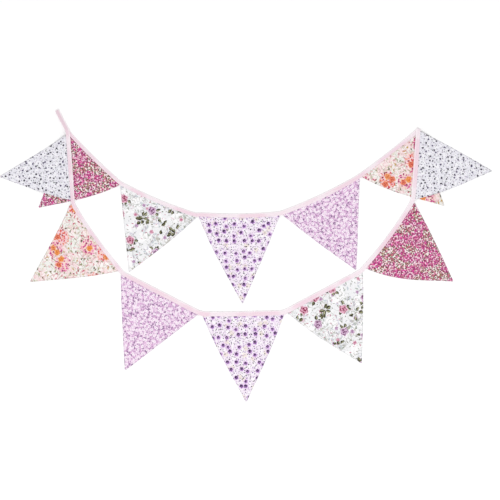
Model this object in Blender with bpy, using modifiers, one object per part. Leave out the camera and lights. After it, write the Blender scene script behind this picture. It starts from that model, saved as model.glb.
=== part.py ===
"""Fabric bunting: twelve printed pennants on one folded binding, laid out flat in two swags.

The strip starts at its tail at the upper left and runs as the upper swag. At the right it is turned
over in one diagonal fold. It comes back as the lower swag and goes up on the left to the tail again.
X is to the right, Y is up the lay and Z is up from the surface that it rests on.
"""

from collections import namedtuple

import bmesh
import bpy
import numpy as np

MM = 0.001

# Driving dimensions
TAPE_WIDTH = 11 * MM  # from the binding's fold to its two free edges
TAPE_CLOTH = 1.0 * MM  # one leg of the binding
TAPE_SPINE = 1.2 * MM  # the binding at its fold
PENNANT_CLOTH = 1.0 * MM  # two cottons, sewn and turned
CLEARANCE = 0.3 * MM  # between a pennant and the legs that hold it
LAP = 0.5 * MM  # between a cloth and the one that lies over it
RAW_EDGE = 1.8 * MM  # from the binding's fold to a pennant's upper edge
TIP_WIDTH = 2.5 * MM  # a turned corner is a little blunt
OPEN_SLOT = PENNANT_CLOTH + 2 * CLEARANCE  # between the legs, with a pennant in it
SHUT_SLOT = 0.3 * MM  # between the legs of a bare end
HELD = TAPE_WIDTH + 1 * MM - RAW_EDGE  # the depth of a pennant that the binding keeps level
FOLD_MARGIN = 4.0 * MM  # from the pennants beside it to the diagonal fold
FOLD_STEPS = 8

SETTLE = 18 * MM  # a pennant comes down from the binding to the surface over this length
SETTLE_LAPPED = 30 * MM  # the same on a pennant that lies over another
LAP_MARGIN = 10 * MM  # an upper cloth stays up this far past the edge of the lower one
LAP_FALL = 22 * MM  # and then comes down over this length
COLUMNS = 8  # divisions of a pennant along the binding
COLUMNS_LAPPED = 14
ROWS_PAST_TAPE = (6 * MM, 12 * MM, 18 * MM, 26 * MM, 36 * MM)
ROW_PITCH = 26 * MM
ROW_PITCH_LAPPED = 11 * MM

# Where each pennant lies, in millimetres: the middle of the binding at the pennant's first and last
# corner along the strip, and its tip. Sag is how far the binding's middle dips towards the pennant.
# The bows are how far its first and last side swell outwards. Over names the pennant that it covers.
Lay = namedtuple("Lay", "name fabric start end tip sag first_bow last_bow over")
LAYS = (
    Lay("pennant_01", "magenta_ditsy", (-396, 272), (-283, 162), (-465, 109), 2, 2, 6, None),
    Lay("pennant_02", "white_rose", (-279, 160), (-111, 90), (-262, -36), 4, 0, 3, None),
    Lay("pennant_03", "violet_dot", (-104, 92), (75, 94), (-7, -107), 4, 4, 1, None),
    Lay("pennant_04", "lilac", (83, 96), (253, 176), (248, -31), 4, 2, 0, None),
    Lay("pennant_05", "cream_floral", (260, 181), (384, 278), (446, 113), 2, 6, 0, None),
    Lay("pennant_06", "pale_ditsy", (388, 279), (377, 128), (553, 191), 0, 2, 5, "pennant_05"),
    Lay("pennant_07", "magenta_ditsy", (375, 121), (268, -25), (466, -57), 5, 2, 10, None),
    Lay("pennant_08", "white_rose", (260, -35), (93, -124), (260, -241), 0, 2, 5, None),
    Lay("pennant_09", "violet_dot", (85, -128), (-96, -131), (1, -328), 1, 3, 3, None),
    Lay("pennant_10", "lilac", (-106, -128), (-278, -40), (-271, -257), 0, 0, 1, None),
    Lay("pennant_11", "cream_floral", (-284, -31), (-390, 116), (-484, -58), 4, 3, -2, None),
    Lay("pennant_12", "pale_ditsy", (-390, 126), (-400, 270), (-553, 178), 0, 3, -1, "pennant_01"),
)
TURNED_AFTER = "pennant_05"

# The tail that both ends of the strip share, in millimetres, from its cut end to the pennants.
TAIL = ((-425, 326), (-419, 314), (-413, 302), (-406, 290), (-401, 280))

# Height of the binding's underside, in millimetres, at a share of a pennant's length along it.
Lift = namedtuple("Lift", "name share height")
LIFTS = (
    Lift("pennant_01", 0.00, 0.0),
    Lift("pennant_05", 1.00, 0.0),
    Lift("pennant_06", 0.00, 3.9),
    Lift("pennant_06", 0.12, 3.9),
    Lift("pennant_06", 0.34, 1.5),
    Lift("pennant_06", 1.00, 1.5),
    Lift("pennant_07", 0.25, 0.0),
    Lift("pennant_11", 0.75, 0.0),
    Lift("pennant_11", 1.00, 1.5),
    Lift("pennant_12", 0.52, 1.5),
    Lift("pennant_12", 0.86, 3.9),
    Lift("pennant_12", 1.00, 3.9),
)

COLOURS = {
    "magenta_ditsy": (0.47, 0.12, 0.27),
    "white_rose": (0.80, 0.80, 0.78),
    "violet_dot": (0.72, 0.63, 0.82),
    "lilac": (0.69, 0.52, 0.75),
    "cream_floral": (0.86, 0.67, 0.57),
    "pale_ditsy": (0.75, 0.74, 0.86),
    "binding": (0.90, 0.72, 0.82),
}
COTTON_ROUGHNESS = 0.9

# A cross-section of the strip: a point on its middle line, the level direction from its fold towards
# the pennants, the height of its underside and the space between its legs.
Ring = namedtuple("Ring", "centre across height slot")


def smooth(share):
    share = np.clip(share, 0.0, 1.0)
    return share * share * (3.0 - 2.0 * share)


def unit(vector):
    return vector / np.linalg.norm(vector)


def pennant_side(lay):
    """1 where the pennants hang to the left of the strip's run, -1 where they hang to its right."""
    turned = [each.name for each in LAYS].index(TURNED_AFTER)
    return 1.0 if LAYS.index(lay) > turned else -1.0


def columns_of(lay):
    return COLUMNS_LAPPED if lay.over else COLUMNS


def across_run(heading, side):
    return side * np.array([-heading[1], heading[0]])


def middle_line(lay, share):
    """A point of the binding's middle line along one pennant, and its heading there."""
    start = np.array(lay.start) * MM
    run = np.array(lay.end) * MM - start
    inwards = across_run(unit(run), pennant_side(lay))
    point = start + share * run + inwards * lay.sag * MM * 4.0 * share * (1.0 - share)
    return point, unit(run + inwards * lay.sag * MM * 4.0 * (1.0 - 2.0 * share))


def underside_of_tape(lay, share):
    """Height of the binding's underside, eased between the rows of LIFTS."""
    names = [each.name for each in LAYS]
    place = 2 * names.index(lay.name) + share
    places = [2 * names.index(lift.name) + lift.share for lift in LIFTS]
    for before, after, low, high in zip(LIFTS, LIFTS[1:], places, places[1:]):
        if low <= place <= high:
            eased = smooth((place - low) / (high - low))
            return (before.height + (after.height - before.height) * eased) * MM
    return 0.0


def rings_of_pennant(lay):
    rings = []
    for share in np.linspace(0.0, 1.0, columns_of(lay) + 1):
        point, heading = middle_line(lay, share)
        across = across_run(heading, pennant_side(lay))
        rings.append(Ring(point, across, underside_of_tape(lay, share), OPEN_SLOT))
    return rings


def rings_between(before, after):
    """Two rings that carry the strip round the bend between two pennants."""
    rings = []
    for share in (1 / 3, 2 / 3):
        centre = before.centre + (after.centre - before.centre) * share
        across = unit(before.across + (after.across - before.across) * share)
        height = before.height + (after.height - before.height) * share
        rings.append(Ring(centre, across, height, OPEN_SLOT))
    return rings


def rings_of_tail(upper):
    """The bare end from its cut to the first pennant. The strip's other end lies on this one."""
    rings = []
    points = [np.array(point) * MM for point in TAIL]
    for number, point in enumerate(points):
        near = points[max(number - 1, 0)]
        far = points[min(number + 1, len(points) - 1)]
        slot = OPEN_SLOT * 0.6 if number == len(points) - 1 else SHUT_SLOT
        thickness = 2 * TAPE_CLOTH + slot
        rings.append(Ring(point, across_run(unit(far - near), -1.0), upper * (thickness + CLEARANCE), slot))
    return rings


def section(slot):
    """The folded tape cut across: distance from its fold and height above its underside."""
    height = 2 * TAPE_CLOTH + slot
    round_off = TAPE_CLOTH
    return [
        (TAPE_WIDTH, 0.0),
        (round_off, 0.0),
        (0.3 * round_off, 0.3 * round_off),
        (0.0, round_off),
        (0.0, height - round_off),
        (0.3 * round_off, height - 0.3 * round_off),
        (round_off, height),
        (TAPE_WIDTH, height),
        (TAPE_WIDTH, height - TAPE_CLOTH),
        (TAPE_SPINE, height - TAPE_CLOTH),
        (TAPE_SPINE, TAPE_CLOTH),
        (TAPE_WIDTH, TAPE_CLOTH),
    ]


def placed_section(ring, turned):
    """The section's points at a ring. Past the diagonal fold the same points lie upside down."""
    points = []
    thickness = 2 * TAPE_CLOTH + ring.slot
    for from_fold, up in section(ring.slot):
        x, y = ring.centre + ring.across * (from_fold - TAPE_WIDTH / 2)
        points.append((x, y, ring.height + (thickness - up if turned else up)))
    return points


def diagonal_fold(before, after):
    """Carries the section half a turn about a level axis, which turns the strip over onto itself."""
    heading_in = across_run(before.across, 1.0)
    heading_out = across_run(after.across, -1.0)
    along = unit(heading_in + heading_out)
    forward = unit(heading_in - heading_out)
    skew = np.dot(before.across, along)
    corner_in = before.centre - before.across * TAPE_WIDTH / 2
    corner_out = after.centre - after.across * TAPE_WIDTH / 2
    corner = (corner_in + corner_out) / 2 + forward * FOLD_MARGIN
    axis_height = 2 * TAPE_CLOTH + OPEN_SLOT + CLEARANCE / 2
    sections = []
    for angle in np.linspace(0.0, np.pi, FOLD_STEPS + 1):
        points = []
        for from_fold, up in section(OPEN_SLOT):
            radius = axis_height - up
            x, y = corner + along * from_fold / skew + forward * radius * np.sin(angle)
            points.append((x, y, axis_height - radius * np.cos(angle)))
        sections.append(points)
    return sections


def strip_sections():
    """Every cross-section of the binding, from one bare end to the other."""
    flat = list(rings_of_tail(0.0))
    turned = []
    last = None
    for lay in LAYS:
        rings = rings_of_pennant(lay)
        part = turned if pennant_side(lay) > 0 else flat
        if last is not None and last.name != TURNED_AFTER:
            part += rings_between(part[-1], rings[0])
        part += rings
        last = lay
    turned += reversed(rings_of_tail(1.0))
    sections = [placed_section(ring, False) for ring in flat]
    sections += diagonal_fold(flat[-1], turned[0])
    sections += [placed_section(ring, True) for ring in turned]
    return sections


def held_point(lay, along, below):
    """A point of the pennant's stretch within the binding, where its sides run straight up."""
    point, heading = middle_line(lay, along)
    return point + across_run(heading, pennant_side(lay)) * (RAW_EDGE + below - TAPE_WIDTH / 2)


def below_upper_edge(lay, point):
    """How far a point lies from the line between a pennant's upper corners."""
    corners = [held_point(lay, share, 0.0) for share in (0.0, 1.0)]
    inwards = across_run(unit(corners[1] - corners[0]), pennant_side(lay))
    return np.dot(point - corners[0], inwards)


def swell(down):
    """How much of its bow a side has at a share of its length: all of it a little above the middle."""
    return down * (1.0 - down) ** 1.5 / 0.186


def plan_point(lay, along, below):
    """A point of a pennant in plan: along the binding from 0 to 1, and so far below its upper edge."""
    if below <= HELD:
        return held_point(lay, along, below)
    corners = [held_point(lay, share, HELD) for share in (0.0, 1.0)]
    tip = np.array(lay.tip) * MM
    down = (below - HELD) / (below_upper_edge(lay, tip) - HELD)
    beside = across_run(unit(tip - (corners[0] + corners[1]) / 2), pennant_side(lay)) * TIP_WIDTH / 2
    sides = []
    for corner, turn, bow in zip(corners, (1.0, -1.0), (lay.first_bow, lay.last_bow)):
        fall = tip + turn * beside - corner
        outwards = across_run(unit(fall), turn * pennant_side(lay))
        sides.append(corner + fall * down + outwards * bow * MM * swell(down))
    sag = held_point(lay, along, HELD) - (corners[0] + (corners[1] - corners[0]) * along)
    return sides[0] + (sides[1] - sides[0]) * along + sag * (1.0 - down)


def slot_height(lay, point):
    """Height of the lower leg's inner face, with clearance, beside a point of the pennant."""
    start = np.array(lay.start) * MM
    run = np.array(lay.end) * MM - start
    share = np.dot(point - start, run) / np.dot(run, run)
    shares = np.linspace(0.0, 1.0, columns_of(lay) + 1)
    heights = [underside_of_tape(lay, each) for each in shares]
    return np.interp(share, shares, heights) + TAPE_CLOTH + CLEARANCE


def settled(lay, below):
    """0 within the binding, and 1 where the pennant has come down to what it lies on."""
    return smooth((below - HELD) / (SETTLE_LAPPED if lay.over else SETTLE))


def outside_distance(outline, point):
    """Distance from a point to an outline, and 0 inside it."""
    nearest = np.inf
    inside = False
    for a, b in zip(outline, outline[1:] + outline[:1]):
        run = b - a
        share = np.clip(np.dot(point - a, run) / np.dot(run, run), 0.0, 1.0)
        nearest = min(nearest, np.linalg.norm(point - a - run * share))
        if (a[1] > point[1]) != (b[1] > point[1]):
            crossing = a[0] + run[0] * (point[1] - a[1]) / run[1]
            inside = inside != (point[0] < crossing)
    return 0.0 if inside else nearest


def outline_of(lay):
    rows = rows_of(lay)
    down_first = [plan_point(lay, 0.0, row) for row in rows]
    up_last = [plan_point(lay, 1.0, row) for row in reversed(rows)]
    return down_first + up_last


def cover_height(lay, point):
    """Height of the cloth that a pennant lies on at a point, with the lap's clearance, or 0."""
    if not lay.over:
        return 0.0
    lower = next(each for each in LAYS if each.name == lay.over)
    raised = (TAPE_CLOTH + CLEARANCE) * (1.0 - settled(lower, below_upper_edge(lower, point)))
    past_edge = outside_distance(outline_of(lower), point) - LAP_MARGIN
    return (raised + PENNANT_CLOTH + LAP) * (1.0 - smooth(past_edge / LAP_FALL))


def rows_of(lay):
    """How far below the pennant's upper edge its rows of points lie, the last at the tip."""
    depth = below_upper_edge(lay, np.array(lay.tip) * MM)
    near = [0.0, HELD] + [HELD + step for step in ROWS_PAST_TAPE]
    pitch = ROW_PITCH_LAPPED if lay.over else ROW_PITCH
    rest = np.linspace(near[-1], depth, int((depth - near[-1]) / pitch) + 2)[1:]
    return near + list(rest)


def new_material(name):
    material = bpy.data.materials.new(name)
    material.use_nodes = True
    shader = material.node_tree.nodes["Principled BSDF"]
    shader.inputs["Base Color"].default_value = (*COLOURS[name], 1.0)
    shader.inputs["Roughness"].default_value = COTTON_ROUGHNESS
    shader.inputs["Metallic"].default_value = 0.0
    return material


def new_object(name, points, faces, fabric, collection):
    mesh = bpy.data.meshes.new(name)
    mesh.from_pydata([tuple(point) for point in points], [], faces)
    mesh.materials.append(bpy.data.materials.get(fabric) or new_material(fabric))
    mesh.shade_smooth()
    piece = bpy.data.objects.new(name, mesh)
    collection.objects.link(piece)
    return piece


def make_binding(collection):
    """One strip, lofted through its sections, with an n-gon at each cut end."""
    sections = strip_sections()
    size = len(sections[0])
    points = [point for each in sections for point in each]
    faces = [tuple(range(size)), tuple(range(len(points) - size, len(points)))]
    for ring in range(len(sections) - 1):
        for corner in range(size):
            after = (corner + 1) % size
            low = ring * size
            faces.append((low + corner, low + after, low + size + after, low + size + corner))
    piece = new_object("binding", points, faces, "binding", collection)
    shape = bmesh.new()
    shape.from_mesh(piece.data)
    bmesh.ops.recalc_face_normals(shape, faces=shape.faces)
    shape.to_mesh(piece.data)
    shape.free()


def make_pennant(lay, collection):
    """The pennant's underside as an open sheet. Solidify gives it the thickness of its two cloths."""
    shares = np.linspace(0.0, 1.0, columns_of(lay) + 1)
    rows = rows_of(lay)
    points = []
    for below in rows:
        for along in shares:
            plan = plan_point(lay, along, below)
            down = settled(lay, below)
            height = slot_height(lay, plan) * (1.0 - down) + cover_height(lay, plan) * down
            points.append((plan[0], plan[1], height))
    width = len(shares)
    faces = []
    for row in range(len(rows) - 1):
        for column in range(width - 1):
            low = row * width + column
            face = (low, low + 1, low + width + 1, low + width)
            faces.append(face if pennant_side(lay) > 0 else face[::-1])
    piece = new_object(lay.name, points, faces, lay.fabric, collection)
    thickness = piece.modifiers.new("two cloths", "SOLIDIFY")
    thickness.thickness = PENNANT_CLOTH
    thickness.offset = 1.0


def main():
    for old in list(bpy.data.objects):
        bpy.data.objects.remove(old)
    bunting = bpy.data.collections.new("fabric_bunting")
    bpy.context.scene.collection.children.link(bunting)
    make_binding(bunting)
    for lay in LAYS:
        make_pennant(lay, bunting)


main()
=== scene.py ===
# A fabric bunting laid out flat and seen from straight above: twelve printed pennants, sewn and turned,
# in one folded cotton binding. X is to the right, Y is up the lay and Z is up from the surface.
import math
from functools import partialmethod
from types import SimpleNamespace

import bpy
import numpy as np
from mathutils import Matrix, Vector, noise
from mathutils.bvhtree import BVHTree


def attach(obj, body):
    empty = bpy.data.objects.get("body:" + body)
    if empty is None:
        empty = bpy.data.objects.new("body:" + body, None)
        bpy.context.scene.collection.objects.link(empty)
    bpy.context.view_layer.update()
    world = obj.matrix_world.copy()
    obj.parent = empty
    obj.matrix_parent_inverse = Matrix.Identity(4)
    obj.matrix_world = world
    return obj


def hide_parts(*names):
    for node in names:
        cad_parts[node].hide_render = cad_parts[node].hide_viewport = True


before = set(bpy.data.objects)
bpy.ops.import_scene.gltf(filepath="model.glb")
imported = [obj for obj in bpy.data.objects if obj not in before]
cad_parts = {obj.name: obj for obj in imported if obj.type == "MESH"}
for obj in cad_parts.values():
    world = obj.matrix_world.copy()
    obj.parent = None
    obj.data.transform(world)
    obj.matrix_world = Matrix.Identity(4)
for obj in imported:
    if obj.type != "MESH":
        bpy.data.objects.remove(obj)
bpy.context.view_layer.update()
mm = 0.001
fullTurn = 2 * math.pi
print("frame loaded:", len(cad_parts), "nodes")


# Small helpers for numbers

def smooth(share):
    share = np.clip(share, 0.0, 1.0)
    return share * share * (3.0 - 2.0 * share)


def unit(vector):
    return vector / np.linalg.norm(vector)


def runAlong(points):   # how far along a line each of its points is
    return np.concatenate([[0.0], np.cumsum(np.linalg.norm(np.diff(points, axis=0), axis=1))])


def colourOf(code):   # from "#RRGGBB" as it looks on a screen to the linear colour of a socket
    parts = [int(code[place:place + 2], 16) / 255 for place in (1, 3, 5)]
    linear = [part / 12.92 if part <= 0.04045 else ((part + 0.055) / 1.055) ** 2.4 for part in parts]
    return (*linear, 1.0)


# Sums on sockets, for shader trees and for geometry trees

class Wire:
    tree = None   # the tree that is being drawn

    def __init__(self, socket):
        self.socket = socket

    @classmethod
    def make(cls, kind, settings=None, sockets=None, output=0):   # any node, set up and linked
        node = cls.tree.nodes.new(kind)
        for name, value in (settings or {}).items():
            if name == "stops":
                node.color_ramp.interpolation = "CONSTANT"
                for place, colour in value[1:-1]:
                    node.color_ramp.elements.new(place)
                for stop, (place, colour) in zip(node.color_ramp.elements, value):
                    stop.position = place
                    stop.color = colour
            else:
                setattr(node, name, value)
        for name, value in (sockets or {}).items():
            if isinstance(value, Wire):
                cls.tree.links.new(value.socket, node.inputs[name])
            else:
                node.inputs[name].default_value = value
        return cls(node.outputs[output])

    def out(self, name):   # another output of the same node
        return Wire(self.socket.node.outputs[name])

    def math(self, operation, *others):
        return Wire.make("ShaderNodeMath", {"operation": operation}, dict(enumerate((self, *others))))

    def vector(self, operation, other=None, output=0):
        sockets = {0: self}
        if other is not None:
            sockets["Scale" if operation == "SCALE" else 1] = other
        return Wire.make("ShaderNodeVectorMath", {"operation": operation}, sockets, output)

    def along(self, direction):   # how far this vector reaches in a direction
        return self.vector("DOT_PRODUCT", direction, "Value")

    def length(self):
        return self.vector("LENGTH", output="Value")

    def turned(self, angle):   # about z
        sockets = {"Vector": self, "Angle": angle}
        return Wire.make("ShaderNodeVectorRotate", {"rotation_type": "Z_AXIS"}, sockets)

    def parts(self):
        split = Wire.make("ShaderNodeSeparateXYZ", {}, {0: self})
        return split, split.out("Y")

    def within(self, edge, soft):   # 1 up to the edge, and down to 0 over the soft distance past it
        reach = {"Value": self, "From Min": soft + edge, "From Max": edge}
        return Wire.make("ShaderNodeMapRange", {"interpolation_type": "SMOOTHSTEP"}, reach)

    def __rsub__(self, other):
        return Wire.make("ShaderNodeMath", {"operation": "SUBTRACT"}, {0: other, 1: self})

    __add__ = __radd__ = partialmethod(math, "ADD")
    __sub__ = partialmethod(math, "SUBTRACT")
    __mul__ = __rmul__ = partialmethod(math, "MULTIPLY")
    __truediv__ = partialmethod(math, "DIVIDE")
    __pow__ = partialmethod(math, "POWER")
    __abs__ = partialmethod(math, "ABSOLUTE")
    plus = partialmethod(vector, "ADD")
    minus = partialmethod(vector, "SUBTRACT")
    times = partialmethod(vector, "SCALE")


make = Wire.make


# How the strip lies, in millimetres: the binding's middle at a pennant's first and last corner, and its
# tip. Sag is the binding's dip towards the pennant, and bows are how far its two sides swell outwards.
# PrintAt is the place in the printed cloth that it was cut from, and over is what it rests on.
columns = ("cloth", "start", "end", "tip", "sag", "bows", "printAt", "over")
rows = [   # from the first pennant to the twelfth
    ("magenta_ditsy", (-396, 272), (-283, 162), (-465, 109), 2, (2, 6), (310, 40)),
    ("white_rose", (-279, 160), (-111, 90), (-262, -36), 4, (0, 3), (60, 420)),
    ("violet_dot", (-104, 92), (75, 94), (-7, -107), 4, (4, 1), (0, 0)),
    ("lilac", (83, 96), (253, 176), (248, -31), 4, (2, 0), (120, 90)),
    ("cream_floral", (260, 181), (384, 278), (446, 113), 2, (6, 0), (453, 180)),
    ("pale_ditsy", (388, 279), (377, 128), (553, 191), 0, (2, 5), (30, 50),
     ["pennant_05_cloth"]),
    ("magenta_ditsy", (375, 121), (268, -25), (466, -57), 5, (2, 10), (20, 330)),
    ("white_rose", (260, -35), (93, -124), (260, -241), 0, (2, 5), (270, 130)),
    ("violet_dot", (85, -128), (-96, -131), (1, -328), 1, (3, 3), (240, 190)),
    ("lilac", (-106, -128), (-278, -40), (-271, -257), 0, (0, 1), (410, 330)),
    ("cream_floral", (-284, -31), (-390, 116), (-484, -58), 4, (3, -2), (109, 53)),
    ("pale_ditsy", (-390, 126), (-400, 270), (-553, 178), 0, (3, -1), (260, 270),
     ["pennant_01_cloth"]),
]
lays = {f"pennant_{number:02d}": dict(zip(columns, row)) for number, row in enumerate(rows, 1)}
names = list(lays)
turnedFrom = names.index("pennant_06")   # the strip is turned over in a diagonal fold before this one


def sideOf(name):   # 1 where the pennants hang to the left of the strip's run, -1 to its right
    return 1.0 if names.index(name) >= turnedFrom else -1.0


def acrossRun(heading, side):   # square to the run, and on one side of it
    return side * np.array([-heading[1], heading[0]])


def middleLine(name, share):   # a point of the binding's middle, and its heading there
    lay = lays[name]
    start = np.array(lay["start"]) * mm
    run = np.array(lay["end"]) * mm - start
    inwards = acrossRun(unit(run), sideOf(name))
    point = start + share * run + inwards * lay["sag"] * mm * 4.0 * share * (1.0 - share)
    return point, unit(run + inwards * lay["sag"] * mm * 4.0 * (1.0 - 2.0 * share))


# Pennants

pennant = {
    "columns": 84,           # faces from side to side
    "rows": 112,
    "sideCrowding": 0.135,   # how much closer the columns are at the two sides
    "evenRows": 0.3,         # the rest of the rows' spacing is closer at the tip
    "swellFall": 1.5,        # how fast a bowed side straightens towards the tip
    "swellPeak": 0.186,      # what the sum for such a side reaches
    "held": 10.2 * mm,       # the depth that lies within the binding
    "tapeEdge": 6.5 * mm,    # from the binding's middle line to the edge that the pennant comes out of
    "tipWidth": 2.5 * mm,
    "half": 0.30 * mm,       # half the thickness of the two cottons
    "hemHalf": 0.12 * mm,    # the seam allowance inside adds this on each side
    "hemWidth": 7.0 * mm,
    "hemSoft": 1.5 * mm,     # its inner edge fades over this distance
    "roll": 0.5 * mm,        # the turned edge is rounded over this distance
    "sideSlant": 0.9,        # from a distance along a row to one square to the side
    "lift": 0.03 * mm,       # above what carries it
    "drawnIn": 0.985,        # where the solid is felt for, so that the rim meets it too
    "evenRounds": 8,         # of averaging what is felt
    "wave": 0.42 * mm,       # broad unevenness of cloth that lies flat
    "waveLength": 46 * mm,
    "fineLength": 0.35,      # of the finer waves, as a share of the broad ones
    "waveMix": (0.5, 0.55, 0.2),   # the level, and the parts of broad and fine waves
    "pucker": 0.20 * mm,     # ripples that the seam draws up
    "puckerMix": (0.6, 0.8),   # their level, and the part that follows the broad waves
    "puckerLength": 7.5 * mm,
    "puckerDrift": 5.0,      # how unevenly they follow each other
    "puckerReach": 9 * mm,
    "settle": 26 * mm,       # the waves grow over this distance from the binding
    "seedStep": 7.3,
}
tiny = 1e-7


def startTree(title, inputs):   # a geometry tree, and its inputs, listed by kind, as wires
    Wire.tree = tree = bpy.data.node_groups.new(title, "GeometryNodeTree")
    for kind, labels in inputs.items():
        for name in labels:
            tree.interface.new_socket(name, in_out="INPUT", socket_type="NodeSocket" + kind)
    tree.interface.new_socket("Geometry", in_out="OUTPUT", socket_type="NodeSocketGeometry")
    group = tree.nodes.new("NodeGroupInput")
    return {name: Wire(group.outputs[name]) for labels in inputs.values() for name in labels}


def endTree(geometry, material):
    real = make("GeometryNodeRealizeInstances", {}, {"Geometry": geometry})
    done = make("GeometryNodeSetMaterial", {}, {"Geometry": real, "Material": material})
    group = Wire.tree.nodes.new("NodeGroupOutput")
    Wire.tree.links.new(done.socket, group.inputs["Geometry"])
    return Wire.tree


def placed(name, data, at=(0.0, 0.0, 0.0)):   # a new object in the scene
    item = bpy.data.objects.new(name, data)
    item.location = at
    bpy.context.scene.collection.objects.link(item)
    return item


def grow(tree, name, values, base):   # runs a tree on a base and keeps the result as a plain mesh
    holder = placed(name + "_holder", base)
    modifier = holder.modifiers.new("shape", "NODES")
    modifier.node_group = tree
    for socket in tree.interface.items_tree:
        if socket.in_out == "INPUT" and socket.name in values:
            modifier[socket.identifier] = values[socket.name]
    bpy.context.view_layer.update()
    shaped = holder.evaluated_get(bpy.context.evaluated_depsgraph_get())
    mesh = bpy.data.meshes.new_from_object(shaped)
    bpy.data.objects.remove(holder)
    mesh.name = name
    return mesh


def makePennantTree():   # the flat cut of one pennant, a grid drawn in to a tip between two bowed sides
    give = startTree("pennantCut", {
        "Int": ("Columns", "Rows"), "Float": ("Held", "Depth"), "Material": ("Cloth",),
        "Vector": ("Across", "First corner", "First side", "First swell", "Last corner", "Last side",
                   "Last swell", "Sag")})
    size = {"Size X": 1.0, "Size Y": 1.0, "Vertices X": give["Columns"], "Vertices Y": give["Rows"]}
    grid = make("GeometryNodeMeshGrid", {}, size)
    x, y = make("GeometryNodeInputPosition").parts()
    even = x + 0.5
    share = even - (even * fullTurn).math("SINE") * pennant["sideCrowding"]
    row = 0.5 - y
    row = row * pennant["evenRows"] + (row * fullTurn / 4).math("SINE") * (1.0 - pennant["evenRows"])
    below = row * (give["Held"] + give["Depth"]) - give["Held"]
    down = below.math("MAXIMUM", 0.0) / give["Depth"]
    swell = down * (1.0 - down) ** pennant["swellFall"] / pennant["swellPeak"]
    sides = []
    for which in ("First", "Last"):
        side = give[which + " corner"].plus(give[which + " side"].times(down))
        sides.append(side.plus(give[which + " swell"].times(swell)))
    width = sides[1].minus(sides[0])
    place = sides[0].plus(width.times(share))
    place = place.plus(give["Sag"].times(share * (1.0 - share) * (1.0 - down) * 4.0))
    place = place.plus(give["Across"].times(below.math("MINIMUM", 0.0)))
    for name, value in (("share", share), ("below", below)):   # before the points move
        sockets = {"Geometry": grid, "Name": name, "Value": value}
        grid = make("GeometryNodeStoreNamedAttribute", {}, sockets)
    cut = make("GeometryNodeSetPosition", {}, {"Geometry": grid, "Position": place})
    return endTree(cut, give["Cloth"])


def cutOf(name):   # the corners, sides and bows of one pennant in plan
    lay = lays[name]
    side = sideOf(name)
    corners = []
    for share in (0.0, 1.0):
        point, heading = middleLine(name, share)
        corners.append(point + acrossRun(heading, side) * pennant["tapeEdge"])
    across = acrossRun(unit(corners[1] - corners[0]), side)
    tip = np.array(lay["tip"]) * mm
    beside = acrossRun(unit(tip - (corners[0] + corners[1]) / 2), side) * pennant["tipWidth"] / 2
    values = {"Columns": pennant["columns"] + 1, "Rows": pennant["rows"] + 1, "Held": pennant["held"],
              "Depth": float(np.dot(tip - corners[0], across)), "Across": (*across, 0.0),
              "Sag": (*across * lay["sag"] * mm, 0.0)}
    for which, corner, turn, bow in zip(("First", "Last"), corners, (1.0, -1.0), lay["bows"]):
        fall = tip + turn * beside - corner
        swell = acrossRun(unit(fall), turn * side) * bow * mm
        for part, value in (("corner", corner), ("side", fall), ("swell", swell)):
            values[f"{which} {part}"] = (*value, 0.0)
    return values


def readAttribute(mesh, name):
    values = np.zeros(len(mesh.vertices), np.float32)
    mesh.attributes[name].data.foreach_get("value", values)
    return values.astype(float)


def pointsOf(mesh):
    points = np.zeros(len(mesh.vertices) * 3, np.float32)
    mesh.vertices.foreach_get("co", points)
    return points.reshape(-1, 3).astype(float)


def undersideIn(node, plan):   # height of the CAD solid's underside below each point of a pennant
    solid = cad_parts[node].data
    tree = BVHTree.FromPolygons([tuple(point) for point in pointsOf(solid)],
                                [tuple(face.vertices) for face in solid.polygons])
    middle = plan.mean(0)
    heights = []
    for x, y in middle + (plan - middle) * pennant["drawnIn"]:
        hit = tree.ray_cast(Vector((x, y, -1.0)), Vector((0.0, 0.0, 1.0)))[0]
        if hit is None:
            hit = tree.find_nearest(Vector((x, y, 0.0)))[0]
        heights.append(hit.z)
    return np.array(heights)


def evened(values, edges, rounds):   # a plain average over the neighbours, several times
    count = np.bincount(edges.ravel(), minlength=len(values))
    for turn in range(rounds):
        total = np.zeros(len(values))
        np.add.at(total, edges[:, 0], values[edges[:, 1]])
        np.add.at(total, edges[:, 1], values[edges[:, 0]])
        values = (values + total / count) / 2
    return values


def unevenness(name, plan, below, edge):   # waves and seam puckers, always upwards
    seed = names.index(name) * pennant["seedStep"]
    broadLength = pennant["waveLength"]
    fineLength = broadLength * pennant["fineLength"]
    level, broadPart, finePart = pennant["waveMix"]
    puckerLevel, puckerPart = pennant["puckerMix"]
    waves = []
    for (x, y), down, inner in zip(plan, below, edge):
        broad = noise.noise(Vector((x, y, seed)) / broadLength + Vector((0, 0, seed)))
        fine = noise.noise(Vector((x, y, 0)) / fineLength + Vector((0, 0, seed + 9)))
        phase = down / pennant["puckerLength"] * fullTurn + pennant["puckerDrift"] * fine + seed
        near = math.exp(-inner / pennant["puckerReach"]) * (puckerLevel + puckerPart * broad)
        wave = pennant["wave"] * (level + broadPart * broad + finePart * fine)
        waves.append(wave + pennant["pucker"] * math.sin(phase) * near)
    return np.maximum(np.array(waves), 0.0) * smooth(below / pennant["settle"])


def addClothMap(mesh, places):   # where each corner of a face lies on the flat printed cloth, in metres
    layer = mesh.uv_layers.new(name="clothMap")
    layer.data.foreach_set("uv", places.astype(np.float32).ravel())


def addHem(mesh, distances):   # millimetres from each point to the cloth's turned edge or fold
    layer = mesh.attributes.new("hem", "FLOAT", "POINT")
    layer.data.foreach_set("value", distances.astype(np.float32))


def pieceOf(mesh):   # an object at the origin, named like its mesh
    mesh.shade_smooth()
    return placed(mesh.name, mesh)


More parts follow.
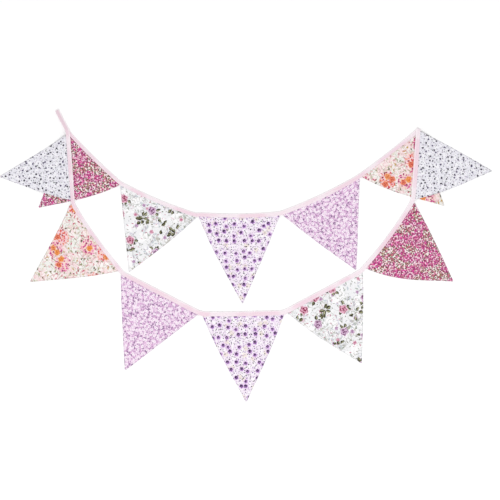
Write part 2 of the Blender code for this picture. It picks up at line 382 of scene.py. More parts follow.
def makePennant(name, tree, material):
    values = cutOf(name)
    values["Cloth"] = material
    cut = grow(tree, name + "_cut", values, bpy.data.meshes.new(name + "_base"))
    plan = pointsOf(cut)[:, :2]
    share, below = readAttribute(cut, "share"), readAttribute(cut, "below")
    edges = np.array([edge.vertices[:] for edge in cut.edges])
    faces = np.array([face.vertices[:] for face in cut.polygons])
    width = np.linalg.norm(np.subtract(values["Last corner"], values["First corner"]))
    down = np.clip(below / values["Depth"], 0.0, 1.0)
    toSides = np.minimum(share, 1.0 - share) * width * (1.0 - down) * pennant["sideSlant"]
    edge = np.maximum(np.minimum(toSides, values["Depth"] - below), 0.0)
    rim = (edge < tiny) | (below < -pennant["held"] + tiny)
    low = evened(undersideIn(name, plan), edges, pennant["evenRounds"]) + pennant["lift"]
    low = low + unevenness(name, plan, below, edge)
    rolled = np.sqrt(1.0 - (1.0 - np.minimum(edge / pennant["roll"], 1.0)) ** 2)
    hem = 1.0 - smooth((edge - pennant["hemWidth"]) / pennant["hemSoft"])
    half = pennant["half"] + pennant["hemHalf"] * hem
    middle = low + pennant["half"] + pennant["hemHalf"]
    upper = np.column_stack([plan, middle + half * rolled])
    lower = np.column_stack([plan, middle - half * rolled])
    upper[rim, 2] = lower[rim, 2] = middle[rim]
    inner = np.flatnonzero(~rim)
    under = np.arange(len(plan))
    under[inner] = len(plan) + np.arange(len(inner))
    a, b, c = (plan[faces[:, corner]] for corner in range(3))
    turn = np.sum((b - a)[:, 0] * (c - b)[:, 1] - (b - a)[:, 1] * (c - b)[:, 0])
    up = faces if turn > 0 else faces[:, ::-1]
    points = np.vstack([upper, lower[inner]])
    mesh = bpy.data.meshes.new(name + "_cloth")
    mesh.from_pydata(points.tolist(), [], np.vstack([up, under[up][:, ::-1]]).tolist())
    along = np.array(values["Across"])[[1, 0]] * (-1.0, 1.0)
    printAt = lays[name]["printAt"]
    fromMiddle = (plan - plan.mean(0)) @ along
    order = np.concatenate([np.arange(len(plan)), inner])
    places = np.stack([fromMiddle[order] + printAt[0] * mm, -below[order] - printAt[1] * mm], 1)
    corners = np.zeros(len(mesh.loops), np.int32)
    mesh.loops.foreach_get("vertex_index", corners)
    addClothMap(mesh, places[corners])
    addHem(mesh, edge[order] / mm)
    mesh.materials.append(material)
    piece = pieceOf(mesh)
    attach(piece, "root")
    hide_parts(name)
    values["Depth"] + pennant["held"]


# The binding: one tape folded lengthwise over the pennants' upper edges, and sewn near its free edges

tape = {
    "solidWidth": 11 * mm,    # of the solid that it stands for
    "widths": (7.6, 8.8, 8.8, 10.4, 7.8, 10.8, 8.8, 10.6, 11.0, 10.4, 8.0, 9.2),   # at each pennant
    "tailWidth": 8.8 * mm,
    "outerLeg": 1.0 * mm,     # what the solid keeps for a leg
    "leg": 0.75 * mm,         # a leg is the tape and its turned-under edge
    "fullerLeg": 0.2,         # it is thicker by this share of what the slot lacks
    "openSlot": 1.6 * mm,     # between the legs where they hold a pennant
    "shutSlot": 0.3 * mm,     # between them in the bare tail
    "endSlot": 0.6,           # of the open slot, where the tail ends
    "closeFrom": 3 * mm,      # from the fold to where the slot starts to close
    "closeOver": 8 * mm,
    "closeLower": 0.18,       # what the lower and the upper leg take of the slot
    "closeUpper": 0.32,
    "gap": 0.3 * mm,
    "seamIn": 1.7 * mm,       # from the free edges to the line of stitching
    "groove": 0.14 * mm,      # how far the stitching draws the tape in
    "grooveWidth": 0.45 * mm,
    "outer": (0.12, 0.24, 0.38, 0.53, 0.66),   # places on the outside, as shares of the width
    "seam": (-0.65, -0.3, 0.0, 0.3, 0.65),   # places about the seam, in millimetres from it
    "lastOuter": 0.5 * mm,    # from the last place to the free edge
    "inner": (0.94, 0.73, 0.46, 0.22),   # the same on the inside, from the free edge
    "bendPlaces": 6,
    "bend": 1.3 * mm,         # how deep the fold's rounding is
    "innerBend": 1.0 * mm,
    "innerCorners": (0.66, 0.34),   # its corners' heights, as shares of the whole
    "ring": 3.0 * mm,         # from one cross-section to the next
    "rounding": 8 * mm,       # how far a corner between two pennants is rounded off
    "foldMargin": 4.0 * mm,   # from the last pennant's corner to the diagonal fold
    "foldSteps": 16,
    "foldEase": (0.33, 0.67),   # more rings on each side of it, as shares of the way
    "tailSteps": 4,           # rings between two points of the tail
    "joinSteps": 3,           # rings between two runs
    "unevenness": 0.08 * mm,
    "wavelengths": (17 * mm, 12 * mm),   # of the unevenness, along the tape and round it
    "noisePlane": 3.1,
    "sharpAngle": 62,         # in degrees
    "length": 2318.0,         # about its run in millimetres, for the tint of its far end
    "greyedEnd": 46.0,          # of each end that is painted greyer, in millimetres
    "greyedEndSoft": 20.0,
}
tail = ((-425, 326), (-419, 314), (-413, 302), (-406, 290), (-401, 280))   # both ends, from their cut

# Height of the binding's underside in millimetres, by a pennant's number and a share of its length
lifts = ((1, 0.00, 0.0), (5, 1.00, 0.0), (6, 0.00, 3.9), (6, 0.12, 3.9), (6, 0.34, 1.5),
         (6, 1.00, 1.5), (7, 0.25, 0.0), (11, 0.75, 0.0), (11, 1.00, 1.5), (12, 0.52, 1.5),
         (12, 0.86, 3.9), (12, 1.00, 3.9))


def undersideOfTape(name, share):
    place = 2 * names.index(name) + share
    places = [2 * (number - 1) + part for number, part, height in lifts]
    for before, after, low, high in zip(lifts, lifts[1:], places, places[1:]):
        if low <= place <= high:
            return (before[2] + (after[2] - before[2]) * smooth((place - low) / (high - low))) * mm
    return 0.0


def tapeWidth(name, share):   # from its fold to its free edges
    middles = np.arange(len(names)) + 0.5
    return np.interp(names.index(name) + share, middles, tape["widths"]) * mm


def ringsOfPennant(name):
    lay = lays[name]
    length = math.dist(lay["start"], lay["end"]) * mm
    rings = []
    for share in np.linspace(0.0, 1.0, round(length / tape["ring"]) + 1):
        point, heading = middleLine(name, share)
        across = acrossRun(heading, sideOf(name))
        height = undersideOfTape(name, share)
        rings.append((*point, *across, height, tape["openSlot"], tapeWidth(name, share)))
    return rings


def ringsBetween(before, after, count):   # even steps from one ring to another, without the two
    steps = np.linspace(0.0, 1.0, count + 2)[1:-1, None]
    rings = np.array(before) + (np.array(after) - np.array(before)) * steps
    rings[:, 2:4] /= np.linalg.norm(rings[:, 2:4], axis=1)[:, None]
    return [tuple(ring) for ring in rings]


def ringsOfTail(upper):   # a bare end from its cut. The strip's other end lies on this one
    points = [np.array(point) * mm for point in tail]
    coarse = []
    for number, point in enumerate(points):
        heading = unit(points[min(number + 1, len(points) - 1)] - points[max(number - 1, 0)])
        last = number == len(points) - 1
        slot = tape["openSlot"] * tape["endSlot"] if last else tape["shutSlot"]
        height = upper * (2 * tape["outerLeg"] + slot + tape["gap"])
        coarse.append((*point, *acrossRun(heading, -1.0), height, slot, tape["tailWidth"]))
    rings = [coarse[0]]
    for before, after in zip(coarse, coarse[1:]):
        rings += ringsBetween(before, after, tape["tailSteps"]) + [after]
    return rings


def tapeSection(slot, width):   # the folded tape cut across: distance from its fold, and height

    def closing(out):
        return slot * smooth((out - tape["closeFrom"]) / tape["closeOver"])

    seam = width - tape["seamIn"]
    full = 2 * tape["outerLeg"] + slot
    leg = tape["leg"] + tape["fullerLeg"] * (tape["openSlot"] - slot)
    lowerShare, upperShare = tape["closeLower"], tape["closeUpper"]
    out = np.concatenate([width * np.array(tape["outer"]), seam + np.array(tape["seam"]) * mm,
                          [width - tape["lastOuter"]]])
    drawn = tape["groove"] * np.exp(-((out - seam) / tape["grooveWidth"]) ** 2)
    lower = lowerShare * closing(out) + drawn
    upper = full - upperShare * closing(out) - drawn
    edge = [(width - leg / 2 + leg / 2 * math.cos(turn), leg / 2 * math.sin(turn))
            for turn in np.linspace(-math.pi / 2, math.pi / 2, 5)[1:-1]]
    bend = [(tape["bend"] * (1 - math.sin(turn)), full / 2 - full / 2 * math.cos(turn))
            for turn in np.linspace(0, math.pi, tape["bendPlaces"] + 2)[1:-1]]
    inner = width * np.array(tape["inner"])
    lowerEdge = lowerShare * closing(out[-1]) + leg / 2
    upperEdge = full - upperShare * closing(out[-1]) - leg / 2
    points = [*zip(out[::-1], lower[::-1]), *bend, *zip(out, upper)]
    points += [(x, upperEdge - y) for x, y in edge]
    points += zip(inner, full - upperShare * closing(inner) - leg)
    points += [(tape["innerBend"], full * share) for share in tape["innerCorners"]]
    points += zip(inner[::-1], lowerShare * closing(inner)[::-1] + leg)
    points += [(x, lowerEdge - y) for x, y in edge]
    return np.array(points)


def easedRings(rings):   # rounds off the corners between the pennants' runs, and keeps the ends
    rings = np.array(rings)
    run = runAlong(rings[:, :2])
    eased = rings.copy()
    for number, place in enumerate(run):
        weights = np.exp(-((run - place) / tape["rounding"]) ** 2)
        mean = weights @ rings[:, :4] / weights.sum()
        mean[2:] /= np.linalg.norm(mean[2:])
        inside = smooth(min(place, run[-1] - place) / (2 * tape["rounding"]))
        eased[number, :4] += (mean - rings[number, :4]) * inside
    return eased


def placeSection(ring, turned):   # past the diagonal fold the same points lie upside down
    x, y, acrossX, acrossY, height, slot, width = ring
    section = tapeSection(slot, width)
    fromMiddle = section[:, 0] - tape["solidWidth"] / 2
    up = 2 * tape["outerLeg"] + slot - section[:, 1] if turned else section[:, 1]
    return np.column_stack([x + acrossX * fromMiddle, y + acrossY * fromMiddle, height + up])


def diagonalFold(before, after):   # half a turn about a level axis turns the strip over onto itself
    inAcross, outAcross = np.array(before[2:4]), np.array(after[2:4])
    headingIn, headingOut = acrossRun(inAcross, 1.0), acrossRun(outAcross, -1.0)
    along = unit(headingIn + headingOut)
    forward = unit(headingIn - headingOut)
    skew = np.dot(inAcross, along)
    corners = [np.array(ring[:2]) - np.array(ring[2:4]) * tape["solidWidth"] / 2
               for ring in (before, after)]
    corner = sum(corners) / 2 + forward * tape["foldMargin"]
    section = tapeSection(tape["openSlot"], (before[6] + after[6]) / 2)
    axis = 2 * tape["outerLeg"] + tape["openSlot"] + tape["gap"] / 2
    radius = axis - section[:, 1]
    sections = []
    for turn in np.linspace(0.0, math.pi, tape["foldSteps"] + 1):
        plan = corner + np.outer(section[:, 0] / skew, along)
        plan = plan + np.outer(radius * math.sin(turn), forward)
        sections.append(np.column_stack([plan, axis - radius * math.cos(turn)]))
    return sections


def tapeSections():
    flat, turned = ringsOfTail(0.0), []
    for number, name in enumerate(names):
        part = turned if number >= turnedFrom else flat
        rings = ringsOfPennant(name)
        if number != turnedFrom:
            part += ringsBetween(part[-1], rings[0], tape["joinSteps"])
        part += rings
    ending = ringsOfTail(1.0)[::-1]
    turned += ringsBetween(turned[-1], ending[0], tape["joinSteps"]) + ending
    flat, turned = easedRings(flat), easedRings(turned)
    sections = [placeSection(ring, False) for ring in flat]
    bend = diagonalFold(flat[-1], turned[0])
    after = [placeSection(ring, True) for ring in turned]
    eased = [sections[-1] + (bend[0] - sections[-1]) * share for share in tape["foldEase"]]
    leaving = [bend[-1] + (after[0] - bend[-1]) * share for share in tape["foldEase"]]
    return np.array(sections + eased + bend + leaving + after)


def makeBinding(sections, material):
    rings, size = sections.shape[:2]
    run = runAlong(sections.mean(1))
    girth = runAlong(np.vstack([sections[0], sections[0][:1]]))
    along, around = tape["wavelengths"]
    points = sections.copy()
    for ring in range(rings):   # the tape is a little uneven along its run
        for corner in range(size):
            at = Vector((run[ring] / along, girth[corner] / around, tape["noisePlane"]))
            points[ring, corner, 2] += tape["unevenness"] * noise.noise(at)
    points[:, :, 2] = np.maximum(points[:, :, 2], pennant["lift"])
    index = np.arange(rings * size).reshape(rings, size)
    nextCorner = np.roll(index, -1, axis=1)
    faces = np.stack([index[:-1], nextCorner[:-1], nextCorner[1:], index[1:]], 2).reshape(-1, 4)
    caps = [index[0, ::-1].tolist(), index[-1].tolist()]
    mesh = bpy.data.meshes.new("binding_tape")
    mesh.from_pydata(points.reshape(-1, 3).tolist(), [], faces.tolist() + caps)
    flatMap = np.zeros((rings - 1, size, 4, 2))
    for corner, (ringStep, girthStep) in enumerate([(0, 0), (0, 1), (1, 1), (1, 0)]):
        flatMap[:, :, corner, 0] = run[ringStep:rings - 1 + ringStep, None]
        flatMap[:, :, corner, 1] = girth[girthStep:size + girthStep]
    addClothMap(mesh, np.vstack([flatMap.reshape(-1, 2), np.zeros((2 * size, 2))]))
    fromFold = tapeSection(tape["openSlot"], tape["solidWidth"])[:, 0]
    addHem(mesh, np.tile(fromFold / mm, rings))
    mesh.materials.append(material)
    piece = pieceOf(mesh)
    mesh.set_sharp_from_angle(angle=math.radians(tape["sharpAngle"]))
    return piece, run[-1], girth[-1]


# Stitches: a thread that shows as short bars along both faces of the binding

stitch = {
    "pitch": 2.8 * mm,
    "length": 2.1 * mm,
    "thickness": 0.42 * mm,
    "sides": 6,
    "places": 5,              # along one stitch
    "taper": 0.93,            # what its section loses where it goes into the cloth
    "sway": 0.09,
    "swayReach": (1.0, 1.0, 0.3),
    "offSurface": 0.6,        # the least height of its middle, in thicknesses
    "seed": 11,
}


def makeStitchTree():
    give = startTree("stitchRow", {
        "Geometry": ("Path",), "Float": ("Pitch", "Length", "Thickness", "Sway"), "Int": ("Seed",),
        "Material": ("Thread",)})
    end = make("ShaderNodeCombineXYZ", {}, {"X": give["Length"] * 0.5})
    start = make("ShaderNodeCombineXYZ", {}, {"X": give["Length"] * -0.5})
    bar = make("GeometryNodeCurvePrimitiveLine", {}, {"Start": start, "End": end})
    bar = make("GeometryNodeResampleCurve", {}, {"Curve": bar, "Count": stitch["places"]})
    along = make("GeometryNodeSplineParameter") * 2.0 - 1.0
    taper = (1.0 - along * along * stitch["taper"]).math("SQRT")
    ring = make("GeometryNodeCurvePrimitiveCircle", {},
                {"Resolution": stitch["sides"], "Radius": give["Thickness"] * 0.5})
    shape = {"Curve": bar, "Profile Curve": ring, "Scale": taper, "Fill Caps": True}
    bar = make("GeometryNodeCurveToMesh", {}, shape)
    row = make("GeometryNodeResampleCurve", {"mode": "LENGTH"},
               {"Curve": give["Path"], "Length": give["Pitch"]})
    least = tuple(-reach for reach in stitch["swayReach"])
    sway = make("FunctionNodeRandomValue", {"data_type": "FLOAT_VECTOR"},
                {0: least, 1: stitch["swayReach"], "Seed": give["Seed"]})
    aim = make("GeometryNodeInputTangent").plus(sway.times(give["Sway"]))
    facing = make("FunctionNodeAlignRotationToVector", {"axis": "X"}, {"Vector": aim})
    rows = make("GeometryNodeInstanceOnPoints", {},
                {"Points": row, "Instance": bar, "Rotation": facing})
    return endTree(rows, give["Thread"])


def makeStitches(sections, material):
    outCount = len(tape["outer"]) + len(tape["seam"]) + 1
    seamPlace = len(tape["outer"]) + len(tape["seam"]) // 2
    lowerSeam = outCount - 1 - seamPlace     # the seam's place in a section, on its two legs
    upperSeam = outCount + tape["bendPlaces"] + seamPlace
    path = bpy.data.curves.new("stitchPath", "CURVE")
    path.dimensions = "3D"
    for corner in (lowerSeam, upperSeam):
        seam = sections[:, corner].copy()
        seam[:, 2] = np.maximum(seam[:, 2], stitch["offSurface"] * stitch["thickness"])
        line = path.splines.new("POLY")
        line.points.add(len(seam) - 1)
        line.points.foreach_set("co", np.column_stack([seam, np.ones(len(seam))]).ravel())
    values = {"Thread": material}
    for label in ("Pitch", "Length", "Thickness", "Sway", "Seed"):
        values[label] = stitch[label.lower()]
    return pieceOf(grow(makeStitchTree(), "binding_stitches", values, path))


# Printed cottons. Each print is a function from a place on the cloth, in millimetres, to a colour

def paint(under, over, mask):
    sockets = {0: mask, 6: under, 7: over}
    for key in (6, 7):
        if isinstance(sockets[key], str):
            sockets[key] = colourOf(sockets[key])
    return make("ShaderNodeMix", {"data_type": "RGBA"}, sockets, output=2)


def choose(chance, *codes):   # one of several inks, by a random number
    stops = [(number / len(codes), colourOf(code)) for number, code in enumerate(codes)]
    return make("ShaderNodeValToRGB", {"stops": stops}, {0: chance})


def noiseOn(cloth, scale, detail, output=0):
    return make("ShaderNodeTexNoise", {"noise_dimensions": "2D"},
                {"Vector": cloth, "Scale": scale, "Detail": detail}, output=output)


def cloud(cloth, size, detail=1.0, shift=0.0):   # soft random patches, about 0.5 on average
    return noiseOn(cloth.plus((shift, -shift, 0.0)), 1.0 / size, detail)


def wandering(cloth, size, reach, detail=1.0):   # the same cloth with its drawing pushed about
    push = noiseOn(cloth, 1.0 / size, detail, "Color").minus((0.5, 0.5, 0.5))
    return cloth.plus(push.times(2.0 * reach))


def spots(cloth, pitch, looseness, shift=0.0):   # the nearest of loosely scattered places
    moved = cloth.plus((shift, shift * 0.7, 0.0))
    cells = make("ShaderNodeTexVoronoi", {"voronoi_dimensions": "2D"},
                 {"Vector": moved, "Scale": 1.0 / pitch, "Randomness": looseness})
    fromMiddle = moved.minus(cells.out("Position"))
    chance = make("ShaderNodeSeparateColor", {}, {0: cells.out("Color")})
    x, y = fromMiddle.turned(chance.out("Blue") * fullTurn).parts()
    return SimpleNamespace(x=x, y=y, far=fromMiddle.length(), flat=fromMiddle, pick=chance,
                           size=chance.out("Green"), middle=cloth.minus(fromMiddle))


def radiating(spot, group):   # the same spot, turned so that its x points away from its group's middle
    away = group.flat.vector("NORMALIZE", (0.0, 0.0, 0.0))
    aside = away.vector("CROSS_PRODUCT", (0.0, 0.0, 1.0))
    return SimpleNamespace(**{**vars(spot), "x": spot.flat.along(away), "y": spot.flat.along(aside)})


def petals(spot, radius, count, notch, soft=0.35):   # a round flower with so many petals
    swing = (spot.y.math("ARCTAN2", spot.x) * count).math("COSINE")
    return (spot.far - (1.0 - notch * 0.5 * (1.0 - swing)) * radius).within(0.0, soft)


def leaf(spot, length, width, soft=0.25, aside=0.0):   # pointed at both ends
    past = abs(spot.y - aside) * (2.0 / width) + (spot.x * (2.0 / length)) ** 2.0
    return past.within(1.0, soft)


def curl(cloth, size, width, shift=0.0):   # a thin line that wanders and closes on itself
    return abs(cloud(cloth, size, 0.0, shift) - 0.5).within(0.13 * width / size, 0.6 * width / size)


def strew(colour, spot, mask, *codes):   # a motif at each spot, in one of several inks
    return paint(colour, choose(spot.pick, *codes), mask)


def scatter(colour, cloth, places, shape, size, *codes):   # small motifs, loosely over the cloth
    spot = spots(cloth, *places)
    return strew(colour, spot, shape(spot, *size), *codes)


def rose(colour, spot, radius, tones, here=1.0):   # petals folded round a heart
    pale, middle, deep = (choose(spot.pick, *codes) for codes in tones)
    count, notch, soft = 5, 0.2, radius * 0.1
    turn = spot.y.math("ARCTAN2", spot.x)
    reach = spot.far / radius
    scallop = (turn * count + spot.far * 0.6).math("COSINE") * 0.12
    whorl = ((reach + scallop) * (fullTurn * 1.7) + turn * 2.0).math("SINE")
    inside = petals(spot, radius * 0.86, count, notch, soft) * here
    colour = paint(colour, pale, petals(spot, radius, count, notch, soft) * here)
    colour = paint(colour, middle, (0.0 - whorl).within(-0.4, 0.5) * inside * 0.8)
    colour = paint(colour, deep, whorl.within(-0.4, 0.35) * inside)
    return paint(colour, deep, reach.within(0.14, 0.1) * here)


def greenery(colour, spot, length, width, dark, light, here):   # a leaf with one half lighter
    colour = paint(colour, dark, leaf(spot, length, width, 0.15) * here)
    return paint(colour, light, leaf(spot, length * 0.74, width * 0.4, 0.25, width * 0.17) * here)


def magentaDitsy(cloth):
    cloth = cloth.times(0.86)
    colour = paint("#6A1840", "#B04076", cloud(cloth, 2.6, 1.0, 40).within(0.5, 0.1))
    colour = scatter(colour, cloth, (3.7, 1.0, 13), leaf, (3.6, 2.0),
                     "#C2AC7E", "#E8DABB", "#85723F", "#DB8FAD", "#F3E8DC")
    colour = scatter(colour, cloth, (4.8, 0.95, 71), petals, (2.0, 5, 0.3),
                     "#F07CB8", "#FBE3EC", "#DA4896", "#FEF7F6", "#C8507C", "#F4B4CC")
    flower = spots(cloth, 8.4, 0.85, 5)
    here = flower.size.within(0.6, 0.02)
    colour = strew(colour, flower, petals(flower, 2.8, 5, 0.32) * here, "#E850A6", "#FDEEF3", "#E87CB0")
    colour = paint(colour, "#5A1434", flower.far.within(0.6, 0.3) * here)
    colour = paint(colour, "#FFFDFB", petals(spots(cloth, 5.2, 1.0, 88), 1.25, 4, 0.4))
    colour = paint(colour, "#360A22", leaf(spots(cloth, 3.9, 1.0, 31), 3.6, 1.8) * 0.95)
    patch = cloud(cloth, 24)
    colour = paint(colour, "#D6C49A", patch.within(0.4, 0.1) * 0.14)
    return paint(colour, "#E65AAA", (1.0 - patch).within(0.46, 0.1) * 0.3)


def whiteRose(cloth):
    cloth = wandering(cloth, 8.0, 1.9)
    sprays = (43, 0.7, 17)
    colour = paint("#FCFBFC", "#F2F2F4", cloud(cloth, 24).within(0.47, 0.12))
    for ink, size, width, shift, patch, level, amount in (
            ("#B3AFA3", 13.0, 0.8, 21, (40, 0.0, 9), 0.5, 0.8),
            ("#A8ADA8", 9.5, 0.7, 63, (34, 0.0, 77), 0.47, 0.7)):
        here = cloud(cloth, *patch).within(level, 0.06)
        colour = paint(colour, ink, curl(cloth, size, width, shift) * here * amount)
    faint = spots(cloth, 8.2, 0.9, 33)
    group = spots(faint.middle, 29, 0.8, 41)
    here = group.far.within(10.5, 0.01)
    colour = strew(colour, faint, leaf(radiating(faint, group), 8.4, 3.3) * here * 0.85,
                   "#C2CBD1", "#AAB4AC", "#D0CDDB", "#B9B3BD")
    fleck = spots(cloth, 9.0, 1.0, 12)
    colour = strew(colour, fleck, leaf(fleck, 4.6, 1.6) * fleck.size.within(0.7, 0.02),
                   "#B9647F", "#8F9184", "#DDB0BF", "#77765F", "#C1C3C6")
    group = spots(cloth, *sprays)
    flowers = group.size.within(0.6, 0.01)   # the other sprays have leaves alone
    stalk = abs((group.y.math("ARCTAN2", group.x) * 2.5 + group.far * 0.07).math("SINE")) * group.far
    colour = paint(colour, "#7F8070", stalk.within(0.35, 0.5) * group.far.within(19.0, 4.0) * 0.75)
    bud = spots(cloth, 25, 0.85, 57)
    tones = (("#F3DDE6", "#EADAEA"), ("#E3A1BC", "#CFA3CC"), ("#A9446C", "#8A5A86"))
    colour = rose(colour, bud, 3.6 + bud.size * 4.0, tones, bud.size.within(0.36, 0.01))
    blade = spots(cloth, 9.2, 0.75, 4)
    spray = spots(blade.middle, *sprays)
    bloom = spray.size.within(0.6, 0.01) * spray.far.within(7.5, 0.01)
    here = spray.far.within(15.0, 0.01) * (1.0 - bloom)
    here = here * cloud(blade.middle, 21, 0.0, 8).within(0.53, 0.01)
    dark = choose(blade.pick, "#2C2A1B", "#413F2C", "#232118", "#504E38")
    light = choose(blade.size, "#989875", "#B4B592", "#74734F")
    colour = greenery(colour, radiating(blade, spray), 11.0, 6.4, dark, light, here)
    tones = (("#F6DBE6", "#EFDCEC"), ("#E08FB0", "#CFA3CA"), ("#8A1D47", "#75406C"))
    return rose(colour, group, 10.4, tones, flowers)


def violetDot(cloth):
    colour = paint("#FDF8FD", "#F5EAF6", cloud(cloth, 11).within(0.48, 0.14))
    pale = spots(cloth, 25, 0.9, 17)
    here = pale.size.within(0.7, 0.02) * 0.7
    colour = paint(colour, "#EFE2D2", petals(pale, 5.4, 5, 0.35, 1.8) * here)
    colour = scatter(colour, cloth, (5.4, 1.0, 41), leaf, (3.3, 1.6),
                     "#A8A2AB", "#D3B5DA", "#BC9DC6", "#908F8E", "#E2CAE6")
    dots = spots(cloth, 6.2, 1.0, 8)
    colour = strew(colour, dots, dots.far.within(dots.size + 0.32, 0.4),
                   "#5F4878", "#2B2232", "#9672B2", "#4B4650")
    flower = spots(wandering(cloth, 3.6, 1.0), 20.0, 0.66)
    colour = paint(colour, "#EACBF0", flower.far.within(4.8, 1.8) * 0.9)
    colour = paint(colour, "#9D6CB5", petals(flower, 3.7 + flower.size * 1.1, 5, 0.35, 0.6))
    shade = flower.flat.plus((0.5, -1.0, 0.0)).length()
    colour = paint(colour, "#3A2449", shade.within(flower.size * 1.1 + 1.7, 1.0) * 0.95)
    return paint(colour, "#E9CDEB", flower.far.within(0.55, 0.4) * 0.8)


def lilac(cloth):
    colour = paint("#EFD4EC", "#DFBBDC", cloud(cloth, 7).within(0.48, 0.12))
    colour = scatter(colour, cloth, (3.7, 1.0, 3), leaf, (3.5, 1.7),
                     "#96769D", "#CDA0CB", "#AC86B1", "#F5E2F3", "#85688C")
    colour = scatter(colour, cloth, (6.0, 0.95, 27), petals, (1.8, 5, 0.3),
                     "#FCEAF8", "#D8A6D2", "#F7DCF0", "#8A6892")
    flower = spots(cloth, 9.2, 0.85, 9)
    colour = paint(colour, "#FFF3FC", petals(flower, 3.1, 5, 0.3))
    return paint(colour, "#AE7BB2", flower.far.within(0.7, 0.3))


def creamFloral(cloth):
    cloth = wandering(cloth, 8.0, 2.0)
    clusters = (56, 0.75)
    colour = paint("#FEF9F7", "#FAE3E4", cloud(cloth, 26).within(0.48, 0.12))
    colour = paint(colour, "#F0F1EC", cloud(cloth, 24, 1.0, 37).within(0.44, 0.08) * 0.9)
    colour = paint(colour, "#A5A289", curl(cloth, 12.0, 0.9, 55) * 0.65)
    colour = paint(colour, "#C98F8E", curl(cloth, 15.0, 0.9, 155) * 0.6)
    colour = scatter(colour, cloth, (7.4, 1.0, 61), leaf, (7.0, 2.7),
                     "#C8C5AC", "#EBC3C6", "#ABA889", "#E3D8C4", "#D69DA0", "#F9F4EE", "#F3D6D8")
    sprig = spots(cloth, 11.0, 1.0, 19)
    colour = strew(colour, sprig, leaf(sprig, 6.6, 2.5) * sprig.size.within(0.6, 0.02),
                   "#77755A", "#A23C4B", "#C69C58", "#8F9070", "#605B46", "#D0607C")
    group = spots(cloth, *clusters)
    colour = paint(colour, choose(group.size, "#F9CDD6", "#FBD2C6"), group.far.within(13.0, 9.0) * 0.75)
    petal = spots(cloth, 4.6, 0.95, 44)
    group = spots(petal.middle, *clusters)
    rosy = choose(petal.pick, "#C93F88", "#EE9BBE", "#9C2C62", "#F8CCD6", "#D85C9A")
    fiery = choose(petal.pick, "#D6444E", "#F2A08C", "#A5323F", "#F9D2C4", "#E66C52")
    inks = paint(rosy, fiery, group.size.within(0.4, 0.01))
    colour = paint(colour, inks, leaf(petal, 5.0, 3.0) * group.far.within(18.0, 0.01))
    bloom = spots(cloth, 17.5, 0.65, 2)
    tones = (("#F7BE7E", "#F9C79A", "#F6B08C"), ("#F0923C", "#EE8A44", "#EC6F4E"),
             ("#D8692C", "#CF5C2E", "#C0443A"))
    return rose(colour, bloom, 7.2, tones, spots(bloom.middle, *clusters).far.within(13.0, 0.01))


def paleDitsy(cloth):
    colour = paint("#F5F4F9", "#E9E8F0", cloud(cloth, 9).within(0.48, 0.14))
    colour = scatter(colour, cloth, (4.2, 1.0, 23), leaf, (3.0, 1.5),
                     "#BDBAC4", "#D3CDDA", "#AEB3AE", "#FCFBFD", "#C3B6C5", "#DCD9E0")
    small = spots(cloth, 8.2, 0.95, 6)
    colour = strew(colour, small, petals(small, 1.2, 4, 0.3) * 0.95,
                   "#6C6879", "#8B839F", "#66706A", "#7E6D82", "#514D5C")
    bud = spots(cloth, 13.5, 0.9, 15)
    colour = strew(colour, bud, petals(bud, 2.1, 5, 0.25),
                   "#231E2B", "#352E42", "#2C2832", "#4A4060")
    return paint(colour, "#C9C2DE", bud.far.within(0.35, 0.3) * 0.6)


def bindingCotton(cloth):
    colour = paint("#F7EBF1", "#F3DAE5", cloud(cloth, 90, 2.0).within(0.47, 0.12))
    colour = paint(colour, "#DFC0CD", cloud(cloth, 1.6, 1.0, 12).within(0.36, 0.2) * 0.2)
    x, y = cloth.parts()
    ends = [place.within(tape["greyedEnd"], tape["greyedEndSoft"]) for place in (x, tape["length"] - x)]
    return paint(colour, "#D3BEC6", (ends[0] + ends[1]) * 0.35)   # greyer towards both ends of the tape


def threadCotton(cloth):
    return paint("#FFF8FB", "#F6E6EE", cloud(cloth, 3).within(0.45, 0.2))


weave = {
    "pitch": 0.55,           # millimetres from one yarn to the next
    "shade": 0.09,           # how much darker the gaps between the yarns are painted, as painted shade
    "slub": (0.25, 2.4, 0.0),   # how often thicker stretches of yarn come, along and across
    "slubShade": 0.16,
    "shadeLevel": 0.015,     # keeps the mean colour of the print
    "shadeInk": "#8C8890",
    "heights": (0.5, 0.8),   # what yarns and slubs add to the relief
    "strength": 0.7,
    "depth": 0.2 * mm,
    "wobble": 0.9,           # millimetres that the print wanders
    "wobbleSize": 1 / 0.28,
    "edgeFade": 0.5,         # millimetres over which the painted shading of an edge fades
    "roughness": 0.86,
    "shine": 0.2,
    "sheen": 0.12,
    "sheenRoughness": 0.5,
}
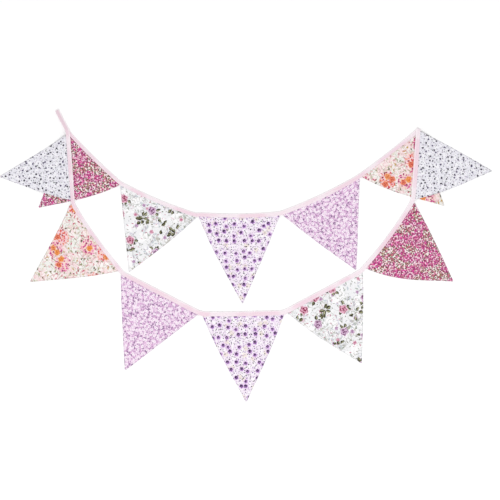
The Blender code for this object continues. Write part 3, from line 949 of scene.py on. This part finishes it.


# By default, each pennant's rounded turned edge gets a grey painted shade
def makeCotton(name, printOf, bias=0.0, edge=0.7, edgeShadingInk="#A09BA2", edgeShade=0.28, mapped=True):
    material = bpy.data.materials.new(name)
    material.use_nodes = True
    material.node_tree.nodes.clear()
    Wire.tree = material.node_tree
    if mapped:
        cloth = make("ShaderNodeUVMap", {"uv_map": "clothMap"})
    else:
        cloth = make("ShaderNodeTexCoord", output="Object")
    cloth = cloth.times(1000.0)
    colour = printOf(wandering(cloth, weave["wobbleSize"], weave["wobble"], 2.0))
    yarns = cloth.turned(bias)
    x, y = yarns.parts()
    cross = [(place * (math.pi / weave["pitch"])).math("SINE") for place in (x, y)]
    cross = cross[0] * cross[1]
    slub = noiseOn(yarns.vector("MULTIPLY", weave["slub"]), 1.0, 1.0)
    # The slubs vary the yarn's tone at random; the darker gaps between the yarns are painted shade
    shade = (slub - 0.5) * weave["slubShade"] - cross * weave["shade"] + weave["shadeLevel"]
    colour = paint(colour, weave["shadeInk"], shade)
    if edge > 0.0:   # painted shading along a turned edge over so many millimetres: a grey painted shade on the pennants' rounded edges, a pale painted light on the tape's fold
        hem = make("ShaderNodeAttribute", {"attribute_name": "hem"}, output="Fac")
        colour = paint(colour, edgeShadingInk, hem.within(edge, edge + weave["edgeFade"]) * edgeShade)
    yarnHeight, slubHeight = weave["heights"]
    bump = make("ShaderNodeBump", {}, {"Strength": weave["strength"], "Distance": weave["depth"],
                                       "Height": cross * yarnHeight + slub * slubHeight})
    shader = make("ShaderNodeBsdfPrincipled", {}, {
        "Base Color": colour, "Roughness": weave["roughness"], "Normal": bump,
        "Specular IOR Level": weave["shine"], "Sheen Weight": weave["sheen"],
        "Sheen Roughness": weave["sheenRoughness"]})
    ending = material.node_tree.nodes.new("ShaderNodeOutputMaterial")
    material.node_tree.links.new(shader.socket, ending.inputs["Surface"])
    return material


# Stage, light and camera

studio = {
    "floorSize": 12.0,
    "floorColour": "#FFFFFF",
    "floorRoughness": 0.95,
    "floorShine": 0.1,
    "skyStrength": 0.80,
    "keyAt": (0.1, -1.5, 3.2),
    "keySize": 1.8,
    "keyPower": 40.0,
    "cameraAt": (9.6 * mm, 12.9 * mm, 3.0),   # over the middle of the photo
    "lens": 96.0,   # 500 px take in 1.125 m from there
    "sensor": 36.0,
}


def makeStage():
    bpy.ops.mesh.primitive_plane_add(size=studio["floorSize"])
    floor = bpy.context.object
    floor.name = "floor"
    material = bpy.data.materials.new("paleFloor")
    material.use_nodes = True
    surface = material.node_tree.nodes["Principled BSDF"]
    surface.inputs["Base Color"].default_value = colourOf(studio["floorColour"])
    surface.inputs["Roughness"].default_value = studio["floorRoughness"]
    surface.inputs["Specular IOR Level"].default_value = studio["floorShine"]
    floor.data.materials.append(material)


def makeLight():
    scene = bpy.context.scene
    scene.world = bpy.data.worlds.new("softWhite")
    scene.world.use_nodes = True
    sky = scene.world.node_tree.nodes["Background"]
    sky.inputs["Color"].default_value = (1.0, 1.0, 1.0, 1.0)
    sky.inputs["Strength"].default_value = studio["skyStrength"]
    key = bpy.data.lights.new("key", "AREA")
    key.shape = "DISK"
    key.size = studio["keySize"]
    key.energy = studio["keyPower"]
    lamp = placed("key", key, studio["keyAt"])
    lamp.rotation_euler = (-lamp.location).to_track_quat("-Z", "Y").to_euler()
    scene.view_settings.view_transform = "Standard"


def makeCamera():
    lens = bpy.data.cameras.new("camera")
    lens.lens = studio["lens"]
    lens.sensor_width = studio["sensor"]
    bpy.context.scene.camera = placed("camera", lens, studio["cameraAt"])


makeCamera()
makeStage()
makeLight()
print("stage, light and camera made")

prints = {"magenta_ditsy": magentaDitsy, "white_rose": whiteRose, "violet_dot": violetDot,
          "lilac": lilac, "cream_floral": creamFloral, "pale_ditsy": paleDitsy}
cottons = {name: makeCotton(name, printOf) for name, printOf in prints.items()}
# The tape's fold is painted paler: painted light that offsets the shade on its rounded bend
tapeCotton = makeCotton("bindingTape", bindingCotton, bias=fullTurn / 8,
                        edge=1.2, edgeShadingInk="#FFFAFC", edgeShade=0.65)
thread = makeCotton("bindingThread", threadCotton, edge=0.0, mapped=False)
print("cottons made:", len(cottons) + 2)

cutTree = makePennantTree()
for name in names:
    makePennant(name, cutTree, cottons[lays[name]["cloth"]])
    print("sewn", name)

sections = tapeSections()
binding, runLength, girthLength = makeBinding(sections, tapeCotton)
stitches = makeStitches(sections, thread)
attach(binding, "root")
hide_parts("binding")
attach(stitches, "root")
print("binding made:", round(runLength, 3), "m long,", len(sections), "rings")
